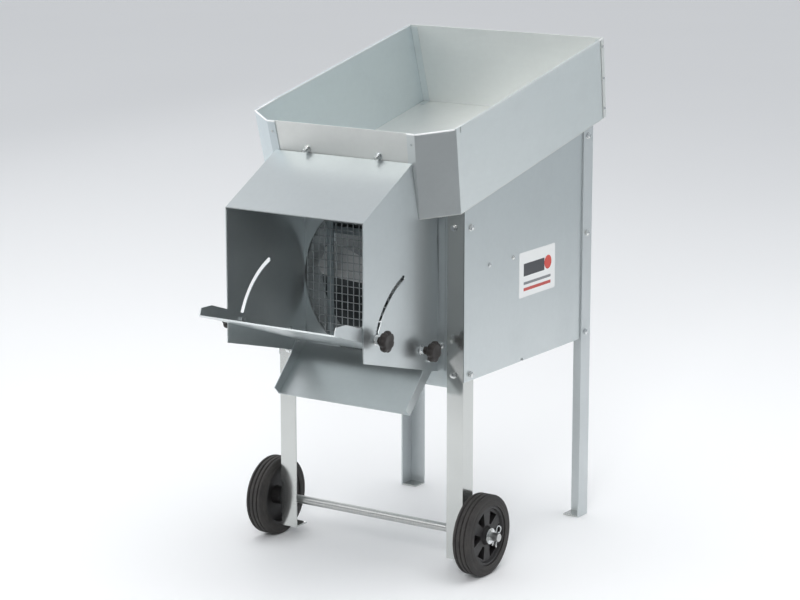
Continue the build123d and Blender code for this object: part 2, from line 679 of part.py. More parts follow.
with BuildPart() as motor_shelf:
    depth = SHELF_Y[1] - SHELF_Y[0]
    centre = FRONT + sum(SHELF_Y) / 2
    with BuildSketch(Plane.XY.offset(SHELF_Z - SHEET)):
        with Locations((0, centre)):
            Rectangle(2 * PANEL_IN, depth)
    extrude(amount=SHEET)
    for side in (1, -1):
        with BuildSketch(Plane.YZ.offset(side * PANEL_IN)):
            with Locations((centre, SHELF_Z - SHELF_DROP / 2)):
                Rectangle(depth, SHELF_DROP)
            with Locations(*across([(y, SHELF_SCREW_Z) for y in SHELF_SCREW_Y])):
                Circle(SCREW_HOLE_R, mode=Mode.SUBTRACT)
        extrude(amount=-side * SHEET)
    for y in (SHELF_Y[0] + SHEET, SHELF_Y[1]):
        with BuildSketch(facing(y)):
            with Locations((0, SHELF_Z + 6)):
                Rectangle(2 * PANEL_IN, 12)
        extrude(amount=SHEET)
save(motor_shelf, "motor_shelf")

shelf_screws = [((side * BOX_HALF, FRONT + y, SHELF_SCREW_Z), (side, 0, 0), 2 * SHEET)
                for side in (1, -1) for y in SHELF_SCREW_Y]
save(bolt_group(shelf_screws, head=3.6, washer=4.4, rise=1.6, radius=2.0), "shelf_screws")


# ---------- rear air intake ----------
BAR_R, BAR_LAP = 1.5, 7.0
BAR_HEIGHTS = [18.0 * i for i in range(-6, 7)]
BAR_SPOTS = [-60.0, 0.0, 60.0]

with BuildPart() as rear_guard:
    reach = INTAKE_R + BAR_LAP
    bars = [((1, 0, 0), off) for off in BAR_HEIGHTS] + [((0, 0, 1), off) for off in BAR_SPOTS]
    for along, off in bars:
        half = (reach**2 - off**2) ** 0.5
        lying = along[0] == 1
        y = FRONT + BOX_BACK + BAR_R + 0.2 + (0 if lying else 2 * BAR_R + 0.04)
        origin = (-half, y, FAN_Z + off) if lying else (off, y, FAN_Z - half)
        with BuildSketch(Plane(origin=origin, z_dir=along)):
            Circle(BAR_R)
        extrude(amount=2 * half)
save(rear_guard, "rear_guard")


# ---------- wheels ----------
AXIS_LINE = Axis((0, FRONT + AXLE_Y, WHEEL_R), (1, 0, 0))
WHEEL_PLANE = Plane(origin=(0, FRONT + AXLE_Y, WHEEL_R), x_dir=(1, 0, 0), z_dir=(0, -1, 0))
WIDTH = WHEEL_OUT - WHEEL_IN


def tyre(side):
    grooves = []
    for share in (0.25, 0.5, 0.75):
        x = WHEEL_OUT - share * WIDTH
        grooves += [(x + 1.6, WHEEL_R), (x + 1.0, WHEEL_R - 3), (x - 1.0, WHEEL_R - 3), (x - 1.6, WHEEL_R)]
    outline = [(WHEEL_IN, TYRE_IN), (WHEEL_OUT, TYRE_IN), (WHEEL_OUT, WHEEL_R - 6)]
    outline += [(WHEEL_OUT - 1.6, WHEEL_R - 2), (WHEEL_OUT - 5, WHEEL_R)]
    outline += grooves + [(WHEEL_IN + 5, WHEEL_R), (WHEEL_IN + 1.6, WHEEL_R - 2), (WHEEL_IN, WHEEL_R - 6)]
    with BuildPart() as ring:
        with BuildSketch(WHEEL_PLANE):
            Polygon(*[(side * x, r) for x, r in outline], align=None)
        revolve(axis=AXIS_LINE)
    return ring


def rim(side):
    web, thick, pocket = WHEEL_OUT - 6, 14.0, 11.0
    outline = [(WHEEL_IN, AXLE_R + 0.05), (WHEEL_OUT, AXLE_R + 0.05), (WHEEL_OUT, 16), (web, 18),
               (web, 49), (WHEEL_OUT - 2, 51), (WHEEL_OUT - 2, TYRE_IN), (WHEEL_IN + 2, TYRE_IN),
               (WHEEL_IN + 2, 51), (web - thick, 49), (web - thick, 18), (WHEEL_IN, 16)]
    with BuildPart() as disc_rim:
        with BuildSketch(WHEEL_PLANE):
            Polygon(*[(side * x, r) for x, r in outline], align=None)
        revolve(axis=AXIS_LINE)
        for i in range(6):
            window = [polar(60 * i + a, r) for a, r in ((-8, 22), (-16, 46), (16, 46), (8, 22))]
            with BuildSketch(Plane.YZ.offset(side * web)):
                Polygon(*[(FRONT + AXLE_Y + u, WHEEL_R + v) for u, v in window], align=None)
            extrude(amount=-side * pocket, mode=Mode.SUBTRACT)
    return disc_rim


for side, hand in ((1, "right"), (-1, "left")):
    save(tyre(side), f"tyre_{hand}")
    save(rim(side), f"rim_{hand}")

with BuildPart() as axle:
    with BuildSketch(Plane.YZ.offset(-AXLE_HALF)):
        with Locations((FRONT + AXLE_Y, WHEEL_R)):
            Circle(AXLE_R)
    extrude(amount=2 * AXLE_HALF)
    chamfer(axle.edges().filter_by(GeomType.CIRCLE), 1.0)
    with BuildSketch(Plane.XY.offset(WHEEL_R)):
        with Locations((PIN_X, FRONT + AXLE_Y), (-PIN_X, FRONT + AXLE_Y)):
            Circle(PIN_R + 0.2)
    extrude(amount=2 * AXLE_R, both=True, mode=Mode.SUBTRACT)
save(axle, "axle")

with BuildPart() as axle_washers:
    for side in (1, -1):
        for start, length, radius in (
            (PANEL_IN + GAP, WHEEL_IN - PANEL_IN - 2 * GAP, 13.0),
            (WHEEL_OUT + GAP, 2.5, 15.0),
            (PANEL_IN - LEG_T - 6, 5.7, 13.0),
        ):
            with BuildSketch(Plane.YZ.offset(side * start)):
                with Locations((FRONT + AXLE_Y, WHEEL_R)):
                    Circle(radius)
                    Circle(AXLE_R, mode=Mode.SUBTRACT)
            extrude(amount=side * length)
save(axle_washers, "axle_washers")

with BuildPart() as hairpins:
    for side in (1, -1):
        pin = Plane(origin=(side * PIN_X, FRONT + AXLE_Y, WHEEL_R), x_dir=(0, 1, 0), z_dir=(1, 0, 0))
        with BuildLine(pin) as wire:
            Line((0, -14), (0, 17))
            ThreePointArc((0, 17), (5.2, 22.2), (10.4, 17))
            Line((10.4, 17), (10.4, -9))
        with BuildSketch(Plane(origin=pin.from_local_coords((0, -14, 0)), z_dir=(0, 0, 1))):
            Circle(PIN_R)
        sweep(path=wire.wires()[0])
save(hairpins, "hairpins")


# ---------- switch box and sticker ----------
SWITCH_FACE = BOX_HALF + SWITCH_D
BUTTONS = [(SWITCH_Y, SWITCH_Z + BUTTON_STEP), (SWITCH_Y, SWITCH_Z - BUTTON_STEP)]

with BuildPart() as switch_box:
    with BuildSketch(Plane.YZ.offset(-BOX_HALF)):
        with Locations(*across([(SWITCH_Y, SWITCH_Z)])):
            RectangleRounded(SWITCH_W, SWITCH_H, 8)
    extrude(amount=-SWITCH_D)
    fillet(switch_box.edges().filter_by(Plane.YZ).group_by(Axis.X)[0], 3)
    with BuildSketch(Plane.YZ.offset(-BOX_HALF)):
        with Locations(*across([(SWITCH_Y, SWITCH_Z)])):
            RectangleRounded(SWITCH_W - 6, SWITCH_H - 6, 5)
    extrude(amount=-SWITCH_D + 3, mode=Mode.SUBTRACT)
    with BuildSketch(Plane.YZ.offset(-SWITCH_FACE)):
        with Locations(*across(BUTTONS)):
            Circle(BUTTON_R + GAP)
    extrude(amount=3, mode=Mode.SUBTRACT)
save(switch_box, "switch_box")

for place, name, proud in ((BUTTONS[0], "start_button", 4.0), (BUTTONS[1], "stop_button", 6.0)):
    with BuildPart() as button:
        with BuildSketch(Plane.YZ.offset(-SWITCH_FACE - proud)):
            with Locations(*across([place])):
                Circle(BUTTON_R)
        extrude(amount=proud + 3 + GAP)
        fillet(button.edges().filter_by(GeomType.CIRCLE).group_by(Axis.X)[0], 1.2)
        with BuildSketch(Plane.YZ.offset(-SWITCH_FACE + 3 + GAP)):
            with Locations(*across([place])):
                Circle(BUTTON_R + 3)
        extrude(amount=3)
    save(button, name)

with BuildPart() as cable_gland:
    low = SWITCH_Z - SWITCH_H / 2
    place = (-BOX_HALF - SWITCH_D / 2, FRONT + SWITCH_Y)
    for top, radius, length, sides in ((low, 12, 6, 6), (low - 6, 9.5, 12, 0)):
        with BuildSketch(Plane.XY.offset(top)):
            with Locations(place):
                if sides:
                    RegularPolygon(radius, sides)
                else:
                    Circle(radius)
                Circle(4.2, mode=Mode.SUBTRACT)
        extrude(amount=-length)
save(cable_gland, "cable_gland")

with BuildPart() as sticker:
    with BuildSketch(Plane.YZ.offset(BOX_HALF)):
        with Locations(*across([(259.0, 529.0)])):
            RectangleRounded(132, 86, 3)
    extrude(amount=0.3)
save(sticker, "sticker")
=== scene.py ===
import json
from math import cos, pi, radians, sin, sqrt

import bmesh
import bpy
from mathutils import Matrix, Vector


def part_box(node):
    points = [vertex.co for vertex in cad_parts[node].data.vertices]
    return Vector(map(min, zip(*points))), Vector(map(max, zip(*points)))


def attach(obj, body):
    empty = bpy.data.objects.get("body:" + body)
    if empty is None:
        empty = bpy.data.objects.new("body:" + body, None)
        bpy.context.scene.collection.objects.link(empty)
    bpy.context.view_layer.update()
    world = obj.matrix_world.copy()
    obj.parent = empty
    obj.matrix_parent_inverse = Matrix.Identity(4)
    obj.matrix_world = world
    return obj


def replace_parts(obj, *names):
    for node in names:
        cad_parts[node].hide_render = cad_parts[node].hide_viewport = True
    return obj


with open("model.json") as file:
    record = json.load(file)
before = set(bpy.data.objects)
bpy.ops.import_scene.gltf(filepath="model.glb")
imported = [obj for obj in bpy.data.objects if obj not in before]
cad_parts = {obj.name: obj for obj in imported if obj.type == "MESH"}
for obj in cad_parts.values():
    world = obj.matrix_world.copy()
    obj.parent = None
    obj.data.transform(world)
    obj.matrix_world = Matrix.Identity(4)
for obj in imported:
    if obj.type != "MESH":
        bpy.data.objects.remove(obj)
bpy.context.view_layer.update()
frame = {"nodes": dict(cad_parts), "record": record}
NODES = frame["nodes"]
BODY_OF = {
    node: body
    for body, held in frame["record"]["behaviour"]["bodies"].items()
    for node in held
}
MM = 0.001


# ---------- shader maths ----------
class Val:
    """A shader value. Arithmetic on it adds Math nodes."""

    def __init__(self, finish, socket):
        self.finish, self.socket = finish, socket

    def math(self, operation, *terms, clamp=False):
        settings = {"operation": operation, "use_clamp": clamp}
        return self.finish.add("ShaderNodeMath", settings, dict(enumerate(terms)))

    def __add__(self, other):
        return self.math("ADD", self, other)

    def __mul__(self, other):
        return self.math("MULTIPLY", self, other)

    def __sub__(self, other):
        return self.math("SUBTRACT", self, other)

    def __rsub__(self, other):
        return self.math("SUBTRACT", other, self)

    def __pow__(self, other):
        return self.math("POWER", self, other)

    def __gt__(self, other):
        return self.math("GREATER_THAN", self, other)

    def __lt__(self, other):
        return self.math("LESS_THAN", self, other)

    __radd__, __rmul__ = __add__, __mul__

    def abs(self):
        return self.math("ABSOLUTE", self)

    def clamped(self):
        return self.math("ADD", self, 0.0, clamp=True)


class Finish:
    """One material: a Principled shader and the nodes that vary it over the surface."""

    def __init__(self, name, **constants):
        self.material = bpy.data.materials.new(name)
        self.material.use_nodes = True
        self.tree = self.material.node_tree
        self.shader = self.tree.nodes["Principled BSDF"]
        for socket, value in constants.items():
            self.shader.inputs[socket.replace("_", " ")].default_value = value
        place = self.tree.nodes.new("ShaderNodeTexCoord")
        self.place = Val(self, place.outputs["Object"])

    def add(self, kind, settings=None, sockets=None, out=0):
        """Adds any node: its settings first, then the values or links of its sockets."""
        node = self.tree.nodes.new(kind)
        for key, value in (settings or {}).items():
            if key == "stops":
                self.set_stops(node.color_ramp, value)
            else:
                setattr(node, key, value)
        for key, value in (sockets or {}).items():
            if isinstance(value, Val):
                self.tree.links.new(value.socket, node.inputs[key])
            else:
                node.inputs[key].default_value = value
        return Val(self, node.outputs[out])

    @staticmethod
    def set_stops(ramp, stops):
        while len(ramp.elements) < len(stops):
            ramp.elements.new(0.5)
        for element, (position, level) in zip(ramp.elements, stops):
            element.position = position
            element.color = (level, level, level, 1)

    def feed(self, socket, value):
        self.tree.links.new(value.socket, self.shader.inputs[socket])

    def stretched(self, scale):
        """Object coordinates scaled unevenly, for grain that runs one way."""
        return self.add("ShaderNodeMapping", None, {"Vector": self.place, "Scale": scale})

    def noise(self, scale, detail=3.0, place=None, rough=0.5):
        sockets = {"Vector": place or self.place, "Scale": scale, "Detail": detail, "Roughness": rough}
        return self.add("ShaderNodeTexNoise", None, sockets)

    def ramp(self, value, stops):
        return self.add("ShaderNodeValToRGB", {"stops": stops}, {0: value})

    def mix(self, factor, first, second):
        sockets = {0: factor, 6: self.colour(first), 7: self.colour(second)}
        return self.add("ShaderNodeMix", {"data_type": "RGBA"}, sockets, out=2)

    @staticmethod
    def colour(value):
        return (*value, 1.0) if isinstance(value, tuple) and len(value) == 3 else value

    def bump(self, height, strength, distance):
        sockets = {"Strength": strength, "Distance": distance, "Height": height}
        self.feed("Normal", self.add("ShaderNodeBump", None, sockets))

    def split(self):
        """The x, y and z of the Object coordinates."""
        node = self.tree.nodes.new("ShaderNodeSeparateXYZ")
        self.tree.links.new(self.place.socket, node.inputs[0])
        return [Val(self, socket) for socket in node.outputs]


# ---------- finishes ----------
def galvanised(name, grain, tone=(0.66, 0.70, 0.705), rough=0.34, wear=1.0, metal=0.92, painted_shade_within=None):
    """Zinc coated sheet: faint crystals, streaks along the rolling direction and dull smears.
    Faces nearer than the given distance in metres to the machine's middle plane get painted shade: a darker
    copy of the tone stands in for the shade within the box."""
    f = Finish(name, Metallic=metal, Specular_IOR_Level=0.5)
    streaks = f.noise(1.0, 4.0, f.stretched(grain))
    cloud = f.noise(3.2, 3.0)
    cells = {"Vector": f.place, "Scale": 120.0}
    crystals = f.add("ShaderNodeTexVoronoi", {"feature": "F1"}, cells, out="Color")
    speck = f.add("ShaderNodeRGBToBW", None, {0: crystals})
    smear = f.ramp(f.noise(9.0, 5.0, rough=0.65), [(0.48, 0.0), (0.72, 1.0)])
    shade = (streaks - 0.5) * 0.10 + (cloud - 0.5) * 0.22 + (speck - 0.5) * 0.06
    light = tuple(1.15 * channel for channel in tone)
    dark = tuple(0.85 * channel for channel in tone)
    base = f.mix((shade + 0.5).clamped(), dark, light)
    dull = tuple(0.86 * channel for channel in tone)
    shown = f.mix(smear * (0.16 * wear), base, dull)
    # Painted shade: the box's inner faces are set to 0.3 of the tone to stand in for the shade within the
    # box.
    if painted_shade_within:
        x, _, _ = f.split()
        shown = f.mix(x.abs() < painted_shade_within, shown, tuple(0.3 * channel for channel in tone))
    f.feed("Base Color", shown)
    f.feed("Roughness", (streaks - 0.5) * 0.08 + (cloud - 0.5) * 0.1 + smear * (0.07 * wear) + rough)
    f.bump(f.noise(4.0, 1.0), 0.3, 0.002)
    return f.material


def zinc_wire(name):
    f = Finish(name, Metallic=0.85)
    tone = f.noise(60.0, 3.0)
    f.feed("Base Color", f.mix(tone, (0.36, 0.39, 0.40), (0.64, 0.66, 0.66)))
    f.feed("Roughness", tone * 0.2 + 0.3)
    f.bump(f.noise(900.0, 2.0), 0.15, 0.0002)
    return f.material


def bright_zinc(name):
    """Plated fasteners: bright, with a faint bluish and straw tint."""
    f = Finish(name, Metallic=1.0)
    tint = f.noise(80.0, 2.0)
    f.feed("Base Color", f.mix(tint, (0.66, 0.70, 0.74), (0.86, 0.85, 0.80)))
    f.feed("Roughness", f.noise(240.0, 3.0) * 0.18 + 0.14)
    f.bump(f.noise(1500.0, 2.0), 0.12, 0.0002)
    return f.material


def turned_steel(name):
    """Drawn bar: rings of tool marks along X."""
    f = Finish(name, Metallic=1.0)
    rings = f.noise(1.0, 4.0, f.stretched((900.0, 30.0, 30.0)))
    f.feed("Base Color", f.mix(rings, (0.46, 0.47, 0.47), (0.68, 0.68, 0.66)))
    f.feed("Roughness", rings * 0.2 + 0.26)
    f.bump(rings, 0.12, 0.0003)
    return f.material


def tyre_rubber(name):
    """Solid rubber: charcoal brown, dusty on the tread."""
    f = Finish(name, Specular_IOR_Level=0.35)
    dust = f.ramp(f.noise(38.0, 6.0, rough=0.7), [(0.38, 0.0), (0.75, 1.0)])
    f.feed("Base Color", f.mix(dust * 0.55, (0.030, 0.028, 0.027), (0.085, 0.078, 0.072)))
    f.feed("Roughness", dust * 0.18 + 0.58)
    f.bump(f.noise(700.0, 4.0) + dust * 0.4, 0.35, 0.0006)
    return f.material


def moulded(name, tone, rough=0.42, grain=1400.0, depth=0.22):
    """Moulded plastic with a fine spark-eroded grain and rubbed lighter patches."""
    f = Finish(name, Specular_IOR_Level=0.5)
    rub = f.ramp(f.noise(45.0, 4.0), [(0.5, 0.0), (0.8, 1.0)])
    lighter = tuple(min(1.0, channel * 1.6 + 0.012) for channel in tone)
    f.feed("Base Color", f.mix(rub * 0.6, tone, lighter))
    f.feed("Roughness", rub * 0.14 + f.noise(300.0, 2.0) * 0.08 + rough)
    f.bump(f.noise(grain, 2.0), depth, 0.0003)
    return f.material


def fan_metal(name):
    """Pressed aluminium blades with fine swirling scratches."""
    f = Finish(name, Metallic=0.25)
    scratches = f.noise(1.0, 5.0, f.stretched((60.0, 700.0, 60.0)))
    f.feed("Base Color", f.mix(scratches, (0.68, 0.70, 0.70), (0.86, 0.87, 0.87)))
    f.feed("Roughness", scratches * 0.18 + 0.36)
    f.bump(scratches, 0.1, 0.0003)
    return f.material


def motor_paint(name):
    f = Finish(name, Metallic=0.3)
    cast = f.noise(260.0, 5.0, rough=0.6)
    f.feed("Base Color", f.mix(cast, (0.16, 0.18, 0.20), (0.26, 0.28, 0.30)))
    f.feed("Roughness", cast * 0.2 + 0.4)
    f.bump(cast, 0.35, 0.0006)
    return f.material


def winding(name):
    f = Finish(name, Metallic=0.6)
    sheets = f.noise(1.0, 2.0, f.stretched((20.0, 2200.0, 20.0)))
    f.feed("Base Color", f.mix(sheets, (0.20, 0.10, 0.05), (0.42, 0.26, 0.16)))
    f.feed("Roughness", sheets * 0.3 + 0.4)
    return f.material


def sticker_print(name, low, high):
    """Plain printed sticker: a dark panel, a disc and two stripes on white, with no lettering."""
    f = Finish(name, Specular_IOR_Level=0.5, Coat_Roughness=0.12, Coat_Weight=0.3)
    _, y, z = f.split()
    across = (y - low[1]) * (1 / (high[1] - low[1]))
    up = (z - low[2]) * (1 / (high[2] - low[2]))
    panel = (across > 0.12) * (across < 0.70) * (up > 0.46) * (up < 0.74)
    bar = (across > 0.12) * (across < 0.88) * (up > 0.27) * (up < 0.33)
    stripe = (across > 0.12) * (across < 0.88) * (up > 0.13) * (up < 0.20)
    aspect = (high[1] - low[1]) / (high[2] - low[2])
    disc = (((across - 0.80) * aspect) ** 2.0 + (up - 0.62) ** 2.0) < 0.024
    ink = f.noise(600.0, 2.0) * 0.12
    paper = f.mix(f.noise(20.0, 2.0) * 0.2, (0.83, 0.84, 0.83), (0.72, 0.73, 0.72))
    shown = f.mix(panel, paper, (0.035, 0.037, 0.045))
    shown = f.mix(bar, shown, (0.20, 0.21, 0.22))
    shown = f.mix(stripe, shown, (0.50, 0.05, 0.035))
    f.feed("Base Color", f.mix(disc, shown, (0.62, 0.05, 0.03)))
    f.feed("Roughness", ink + 0.3)
    return f.material


def studio_floor(name):
    f = Finish(name, Roughness=0.6, Specular_IOR_Level=0.2)
    f.feed("Base Color", f.mix(f.noise(0.8, 2.0), (0.95, 0.95, 0.95), (0.98, 0.98, 0.98)))
    return f.material


ALONG_X, ALONG_Y, ALONG_Z = (6.0, 160.0, 160.0), (160.0, 6.0, 160.0), (160.0, 160.0, 6.0)
SHEET_X = galvanised("galvanised_rolled_across", ALONG_X)
SHEET_Y = galvanised("galvanised_rolled_lengthwise", ALONG_Y)
SHEET_Z = galvanised("galvanised_rolled_upright", ALONG_Z)
# Box sides, with painted shade on their inner faces.
BOX_SIDE = galvanised("galvanised_box_side", ALONG_Z, painted_shade_within=0.2066)
DIPPED = galvanised("galvanised_section", ALONG_Z, tone=(0.59, 0.605, 0.59), rough=0.15, wear=1.0)
# Painted light: a lighter, less metallic copy of the dipped finish, used on the rear legs only, stands in
# for the light that falls on them.
LIT_DIPPED = galvanised(
    "galvanised_section_painted_light", ALONG_Z, tone=(0.60, 0.635, 0.645), rough=0.38, metal=0.6
)
# Painted light: the hopper sides and corner laps get a lighter, less metallic copy of the galvanised sheet,
# standing in for the light that falls into the hopper.
HOPPER_SHEET_LIT = galvanised("galvanised_hopper", ALONG_Y, tone=(0.80, 0.84, 0.835), rough=0.40, metal=0.86)
# Painted shade: a darker copy of the sheet for the motor shelf and guard stays, standing in for the shade in
# the box.
SHADED = galvanised("galvanised_painted_shade", ALONG_Z, tone=(0.43, 0.475, 0.49), rough=0.36)
# Painted reflection: the left hopper side gets a darker, bluer copy of the hopper sheet, standing in for the
# darker blue surroundings it mirrors.
PAINTED_REFLECTION_SHEET = galvanised("galvanised_hopper_left", ALONG_Y, tone=(0.68, 0.75, 0.775), rough=0.40, metal=0.86)
# Painted light: the hopper's front, back and floor get a paler copy of the sheet, standing in for the light
# that falls on them.
PAINTED_LIGHT_SHEET = galvanised("galvanised_painted_light", ALONG_X, tone=(0.86, 0.875, 0.85), rough=0.42, metal=0.84)
# Painted highlight: the rim bead is nearly white and barely metallic, so the rolled edge reads as a bright
# highlight line.
ROLLED_HIGHLIGHT = galvanised(
    "galvanised_rolled_edge_painted_highlight", ALONG_Y, tone=(0.865, 0.87, 0.87), rough=0.36, wear=0.3, metal=0.12
)
WIRE = zinc_wire("galvanised_wire")
PLATED = bright_zinc("bright_zinc")
BAR = turned_steel("drawn_bar")
RUBBER = tyre_rubber("tyre_rubber")
RIM_PLASTIC = moulded("rim_plastic", (0.018, 0.017, 0.017), 0.40)
KNOB_PLASTIC = moulded("knob_plastic", (0.020, 0.016, 0.014), 0.34)
BOX_PLASTIC = moulded("box_plastic", (0.035, 0.036, 0.04), 0.5)
GREEN = moulded("button_green", (0.02, 0.26, 0.07), 0.25, depth=0.08)
RED = moulded("button_red", (0.55, 0.02, 0.015), 0.25, depth=0.08)
FAN_METAL = fan_metal("fan_metal")
MOTOR_PAINT = motor_paint("motor_paint")
WINDING = winding("motor_winding")
STICKER = sticker_print("sticker_print", *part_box("sticker"))

HANDS = ("right", "left")
FINISH_OF = {
    "hopper_front": PAINTED_LIGHT_SHEET, "hopper_back": PAINTED_LIGHT_SHEET, "hopper_floor": PAINTED_LIGHT_SHEET, "feed_gate": SHEET_X,
    "hopper_side_right": HOPPER_SHEET_LIT, "hopper_side_left": PAINTED_REFLECTION_SHEET,
    "side_panel_right": BOX_SIDE, "side_panel_left": BOX_SIDE, "front_plate": SHEET_Z, "rear_panel": SHEET_Z,
    "bottom_pan": SHEET_Y, "hood_shell": SHEET_Z, "chute": SHEET_X, "flap": SHEET_X,
    "motor_shelf": SHADED, "fan_shroud": SHEET_Y, "guard_stays": SHADED, "foot_plates": DIPPED,
    "rear_guard": WIRE, "hopper_rivets": PLATED, "gate_bolts": PLATED, "flap_studs": PLATED,
    "axle_washers": PLATED, "hub_nut": PLATED, "axle": BAR, "motor_shaft": BAR, "motor_bearings": BAR,
    "motor_body": MOTOR_PAINT, "motor_foot": MOTOR_PAINT, "motor_cap_front": MOTOR_PAINT,
    "motor_cap_rear": MOTOR_PAINT, "motor_stator": WINDING, "motor_rotor": WINDING,
    "terminal_box": BOX_PLASTIC, "switch_box": BOX_PLASTIC, "cable_gland": BOX_PLASTIC,
    "start_button": GREEN, "stop_button": RED, "sticker": STICKER,
}
for hand in HANDS:
    FINISH_OF[f"leg_front_{hand}"] = DIPPED
    FINISH_OF[f"leg_rear_{hand}"] = LIT_DIPPED
    FINISH_OF[f"rim_{hand}"] = RIM_PLASTIC

# Edge rounding in millimetres. A node that isn't listed keeps its CAD mesh.
EDGE = {
    "leg_front_right": 0.9, "leg_front_left": 0.9, "leg_rear_right": 0.9, "leg_rear_left": 0.9,
    "foot_plates": 0.6, "rim_right": 1.0, "rim_left": 1.0, "axle": 0.3, "axle_washers": 0.35,
    "gate_bolts": 0.35, "flap_studs": 0.3, "hub_nut": 0.4, "hopper_rivets": 0.45, "rear_guard": 0.0,
    "switch_box": 0.4, "start_button": 0.3, "stop_button": 0.3, "cable_gland": 0.5, "terminal_box": 0.8,
    "motor_body": 0.4, "motor_foot": 0.6, "motor_cap_front": 1.5, "motor_cap_rear": 1.5,
}
SHEET_FINISHES = (SHEET_X, SHEET_Y, SHEET_Z, PAINTED_LIGHT_SHEET, PAINTED_REFLECTION_SHEET, HOPPER_SHEET_LIT, SHADED, BOX_SIDE)
SHEET_EDGE = 0.42
EDGE.update({node: SHEET_EDGE for node, finish in FINISH_OF.items() if finish in SHEET_FINISHES})


# ---------- mesh helpers ----------
def piece_from(mesh, name, node, finish, smooth_below=35.0):
    """Makes a finished piece that stands for a CAD node, smooth where its faces meet gently."""
    work = bmesh.new()
    work.from_mesh(mesh)
    for face in work.faces:
        face.smooth = True
    for edge in work.edges:
        edge.smooth = len(edge.link_faces) == 2 and edge.calc_face_angle(pi) < radians(smooth_below)
    work.to_mesh(mesh)
    work.free()
    mesh.materials.clear()
    mesh.materials.append(finish)
    for face in mesh.polygons:
        face.material_index = 0
    piece = bpy.data.objects.new(name, mesh)
    bpy.context.collection.objects.link(piece)
    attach(piece, BODY_OF[node])
    return piece


def softened(node, width):
    """Copy of a CAD node, its triangles merged to flat faces and its sharp edges rounded."""
    mesh = NODES[node].data.copy()
    work = bmesh.new()
    work.from_mesh(mesh)
    bmesh.ops.remove_doubles(work, verts=work.verts, dist=1e-6)
    bmesh.ops.dissolve_limit(work, angle_limit=radians(0.6), verts=work.verts, edges=work.edges)
    if width:
        sharp = [e for e in work.edges if len(e.link_faces) == 2 and e.calc_face_angle(0) > radians(28)]
        bmesh.ops.bevel(
            work, geom=sharp, offset=width * MM, segments=2, profile=0.5,
            affect="EDGES", clamp_overlap=True, loop_slide=True,
        )
    work.to_mesh(mesh)
    work.free()
    piece = piece_from(mesh, f"{node}_finished", node, FINISH_OF[node], 50.0)
    weigh = piece.modifiers.new("flat_faces_first", "WEIGHTED_NORMAL")
    weigh.keep_sharp = True
    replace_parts(piece, node)
    return piece


def grid_faces(rows, columns, closed_rows=False, closed_columns=True):
    faces = []
    for i in range(rows if closed_rows else rows - 1):
        for j in range(columns if closed_columns else columns - 1):
            a, b = i * columns, ((i + 1) % rows) * columns
            k = (j + 1) % columns
            faces.append((a + j, a + k, b + k, b + j))
    return faces


def outward(mesh):
    work = bmesh.new()
    work.from_mesh(mesh)
    bmesh.ops.remove_doubles(work, verts=work.verts, dist=1e-7)
    bmesh.ops.recalc_face_normals(work, faces=work.faces)
    work.to_mesh(mesh)
    work.free()
    return mesh


def mesh_of(name, points, faces):
    mesh = bpy.data.meshes.new(name)
    mesh.from_pydata([tuple(p) for p in points], [], faces)
    return outward(mesh)


def lathe(name, profile, centre, turns=96, side=1, shape=None, closed=True):
    """Turns (x, radius) points about an axis along X. shape(radius, angle) may vary it."""
    points = []
    for x, radius in profile:
        for j in range(turns):
            angle = 2 * pi * j / turns
            r = shape(radius, angle) if shape else radius
            points.append((centre[0] + side * x, centre[1] + r * cos(angle), centre[2] + r * sin(angle)))
    faces = grid_faces(len(profile), turns, closed_rows=closed)
    if not closed:
        faces.append(tuple(range(turns)))
        faces.append(tuple(range((len(profile) - 1) * turns, len(profile) * turns)))
    return mesh_of(name, points, faces)


def rounded(points, radius, steps=4):
    """Polyline with its inner corners cut to arcs, as quadratic curves."""
    out = [points[0]]
    for before, here, after in zip(points, points[1:], points[2:]):
        before, here, after = Vector(before), Vector(here), Vector(after)
        cut_in = min(radius, (before - here).length * 0.45)
        cut_out = min(radius, (after - here).length * 0.45)
        start = here + (before - here).normalized() * cut_in
        end = here + (after - here).normalized() * cut_out
        for i in range(steps + 1):
            t = i / steps
            out.append(tuple(start * (1 - t) ** 2 + here * (2 * t * (1 - t)) + end * t**2))
    return out + [points[-1]]


